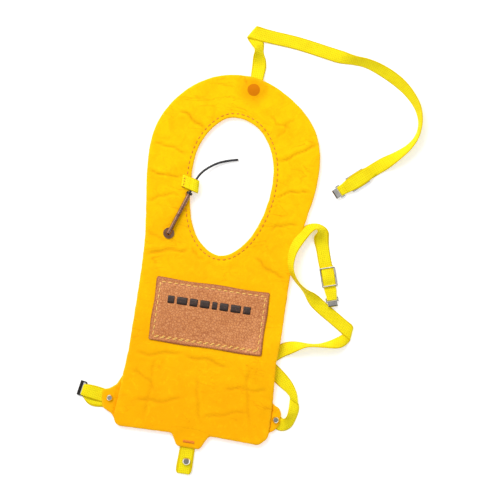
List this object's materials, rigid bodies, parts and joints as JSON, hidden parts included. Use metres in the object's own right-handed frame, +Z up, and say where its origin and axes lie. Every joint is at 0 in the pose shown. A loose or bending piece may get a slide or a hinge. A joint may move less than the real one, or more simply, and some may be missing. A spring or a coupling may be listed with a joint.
{
  "type": "miniature life preserver vest",
  "caption": "Miniature keyhole life preserver vest in yellow felt: ring collar and bib, webbing straps with sliders and hooks, leather patch, inflation tube.",
  "frame": {"origin": "underside of the back felt layer, on the vest's centre line, under the middle of the leather patch", "axes": "+Z up out of the vest's front face as it lies on its back, +Y from the hem to the top of the collar, +X to the side that carries the waist strap"},
  "size_m": [0.0971, 0.1448, 0.0039],
  "materials": {
    "felt": "thick waxed felt with creases, matt, yellow-orange",
    "felt_stain": "felt soaked dark by glue over the strap's hidden end",
    "webbing": "narrow woven cotton webbing, lemon yellow",
    "orange_thread": "sewing thread, orange",
    "yellow_thread": "sewing thread, pale yellow",
    "leather": "grained brown leather, satin",
    "steel": "polished nickel-plated steel",
    "dark_steel": "darkened steel",
    "bronze": "dark bronze, polished",
    "black_rubber": "black rubber, slightly glossy"
  },
  "bodies": {
    "vest": {"back_bib": "felt", "front_bib": "felt", "neck_stitching_lower": "orange_thread", "leather_patch": "leather", "patch_stitching": "yellow_thread", "top_strap": "webbing", "waist_strap_root": "webbing", "waist_strap": "webbing", "right_rivet_cap": "steel", "right_rivet_back": "steel", "left_tab_root": "webbing", "left_rivet_cap": "steel", "left_rivet_back": "steel", "centre_tab_root": "webbing", "centre_bartack": "orange_thread", "valve_flange": "bronze", "valve_nut": "bronze", "tube_loop": "webbing", "loop_stitching": "orange_thread"},
    "collar": {"back_collar": "felt", "front_collar": "felt", "neck_stitching_upper": "orange_thread", "top_strap_root": "webbing", "strap_anchor_disc": "felt_stain"},
    "top_slider": {"top_slider": "steel"},
    "top_end": {"top_strap_end": "webbing"},
    "top_hook": {"top_hook": "steel"},
    "waist_slider": {"waist_slider": "steel"},
    "waist_end": {"waist_strap_end": "webbing"},
    "waist_hook": {"waist_hook": "steel"},
    "left_tab": {"left_tab": "webbing"},
    "left_ring": {"left_ring": "dark_steel"},
    "centre_tab": {"centre_tab": "webbing", "centre_rivet_cap": "steel", "centre_rivet_back": "steel"},
    "mouth_tube": {"valve_elbow": "bronze", "mouth_pipe": "bronze", "pipe_ferrule": "dark_steel", "mouth_hose": "black_rubber"}
  },
  "joints": [
    {"name": "collar_fold", "type": "hinge", "parent": "vest", "child": "collar", "pos_m": [0, 0.048, 0.0008], "axis": [1, 0, 0], "range_deg": [0, 90]},
    {"name": "top_slider_slide", "type": "slide", "parent": "vest", "child": "top_slider", "axis": [0.7547, 0.6561, 0], "range_m": [0, 0.004]},
    {"name": "top_end_shift", "type": "slide", "parent": "vest", "child": "top_end", "axis": [0.7547, 0.6561, 0], "range_m": [0, 0.002], "deforming": ["top_strap"]},
    {"name": "top_hook_pivot", "type": "hinge", "parent": "top_end", "child": "top_hook", "pos_m": [0.0358, 0.046, 0.0005], "axis": [-0.6561, 0.7547, 0], "range_deg": [0, 100]},
    {"name": "waist_slider_slide", "type": "slide", "parent": "vest", "child": "waist_slider", "axis": [-0.299, 0.9542, 0], "range_m": [0, 0.004]},
    {"name": "waist_end_shift", "type": "slide", "parent": "vest", "child": "waist_end", "axis": [-0.299, 0.9542, 0], "range_m": [0, 0.002], "deforming": ["waist_strap"]},
    {"name": "waist_hook_pivot", "type": "hinge", "parent": "waist_end", "child": "waist_hook", "pos_m": [0.0379, 0.0115, 0.0005], "axis": [-0.9542, -0.299, 0], "range_deg": [0, 100]},
    {"name": "left_tab_fold", "type": "hinge", "parent": "vest", "child": "left_tab", "pos_m": [-0.03085, -0.02981, 0.001], "axis": [0.178, 0.984, 0], "range_deg": [0, 100]},
    {"name": "left_ring_pivot", "type": "hinge", "parent": "left_tab", "child": "left_ring", "pos_m": [-0.03592, -0.0289, 0.0005], "axis": [0.178, 0.984, 0], "range_deg": [0, 90]},
    {"name": "centre_tab_fold", "type": "hinge", "parent": "vest", "child": "centre_tab", "pos_m": [-0.0006, -0.043, 0.001], "axis": [-1, 0, 0], "range_deg": [0, 100]},
    {"name": "mouth_tube_swivel", "type": "hinge", "parent": "vest", "child": "mouth_tube", "pos_m": [-0.0167, 0.0244, 0.0028], "axis": [0, 0, 1], "range_deg": [-2, 2]}
  ],
  "couplings": [
    {"joint": "top_end_shift", "follows": "top_slider_slide", "ratio": 0.5},
    {"joint": "waist_end_shift", "follows": "waist_slider_slide", "ratio": 0.5}
  ]
}
